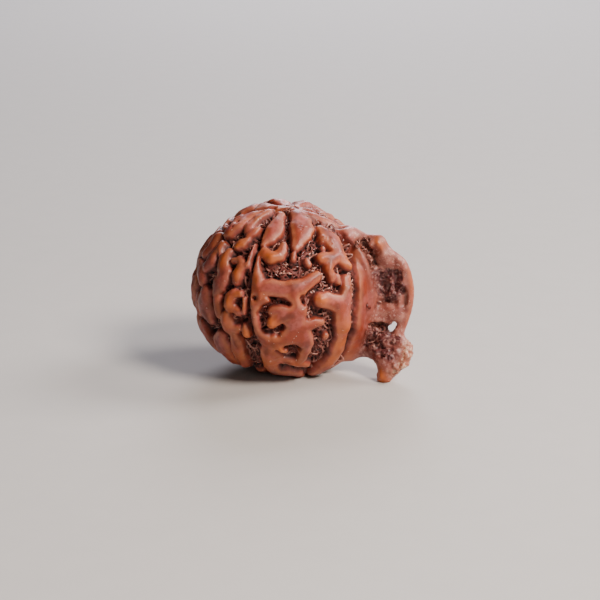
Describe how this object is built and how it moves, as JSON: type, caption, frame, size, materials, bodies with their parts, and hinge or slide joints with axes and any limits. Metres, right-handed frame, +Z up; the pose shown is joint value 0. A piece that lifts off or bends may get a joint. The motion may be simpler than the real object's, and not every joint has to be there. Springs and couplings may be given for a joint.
{
  "type": "rudraksha bead",
  "caption": "Round seed stone with smooth raised lobes, pole-to-pole grooves and a thin side crest that hooks down into a trunk-like foot",
  "frame": {"origin": "middle of the small flat spot that the bead rests on, below the middle of its body", "axes": "+Z up as the bead lies, +X from the body through the crest and the trunk, which is the longest way; -Y is the face the picture shows"},
  "size_m": [0.0273, 0.0218, 0.0207],
  "materials": {
    "seed_stone": "oiled hard seed stone, waxy on the lobes and rough and fibrous in the furrows"
  },
  "bodies": {
    "root": {"bead": "seed_stone"}
  },
  "joints": []
}
